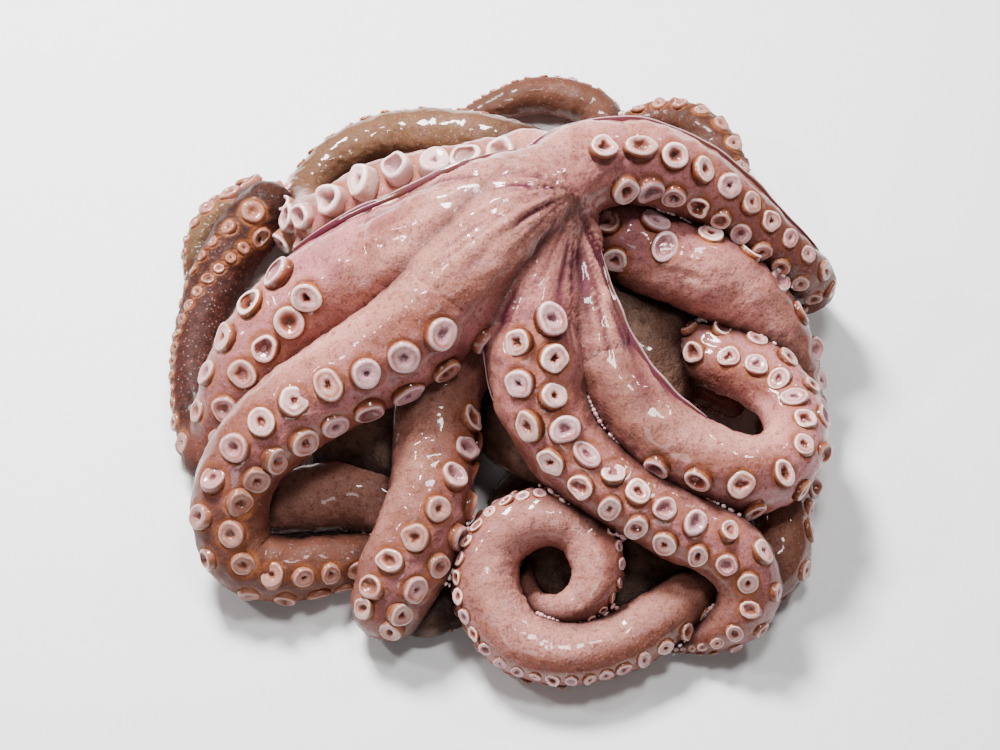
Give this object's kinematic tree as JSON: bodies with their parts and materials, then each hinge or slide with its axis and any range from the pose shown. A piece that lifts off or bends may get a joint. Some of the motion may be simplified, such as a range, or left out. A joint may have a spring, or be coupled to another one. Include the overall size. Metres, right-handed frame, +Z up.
{
  "type": "octopus",
  "caption": "Whole raw octopus heaped on its body, its arms curled over and round it with suckers outward.",
  "frame": {"origin": "middle of the heap's bounding box, on the counter it rests on", "axes": "+Z up from the counter, -Y towards the viewer of the picture, +X to the viewer's right"},
  "size_m": [0.2626, 0.2812, 0.1099],
  "materials": {
    "octopus": "wet raw skin, tan to reddish brown, with pale pink suckers"
  },
  "bodies": {
    "root": {"octopus": "octopus"}
  },
  "joints": []
}
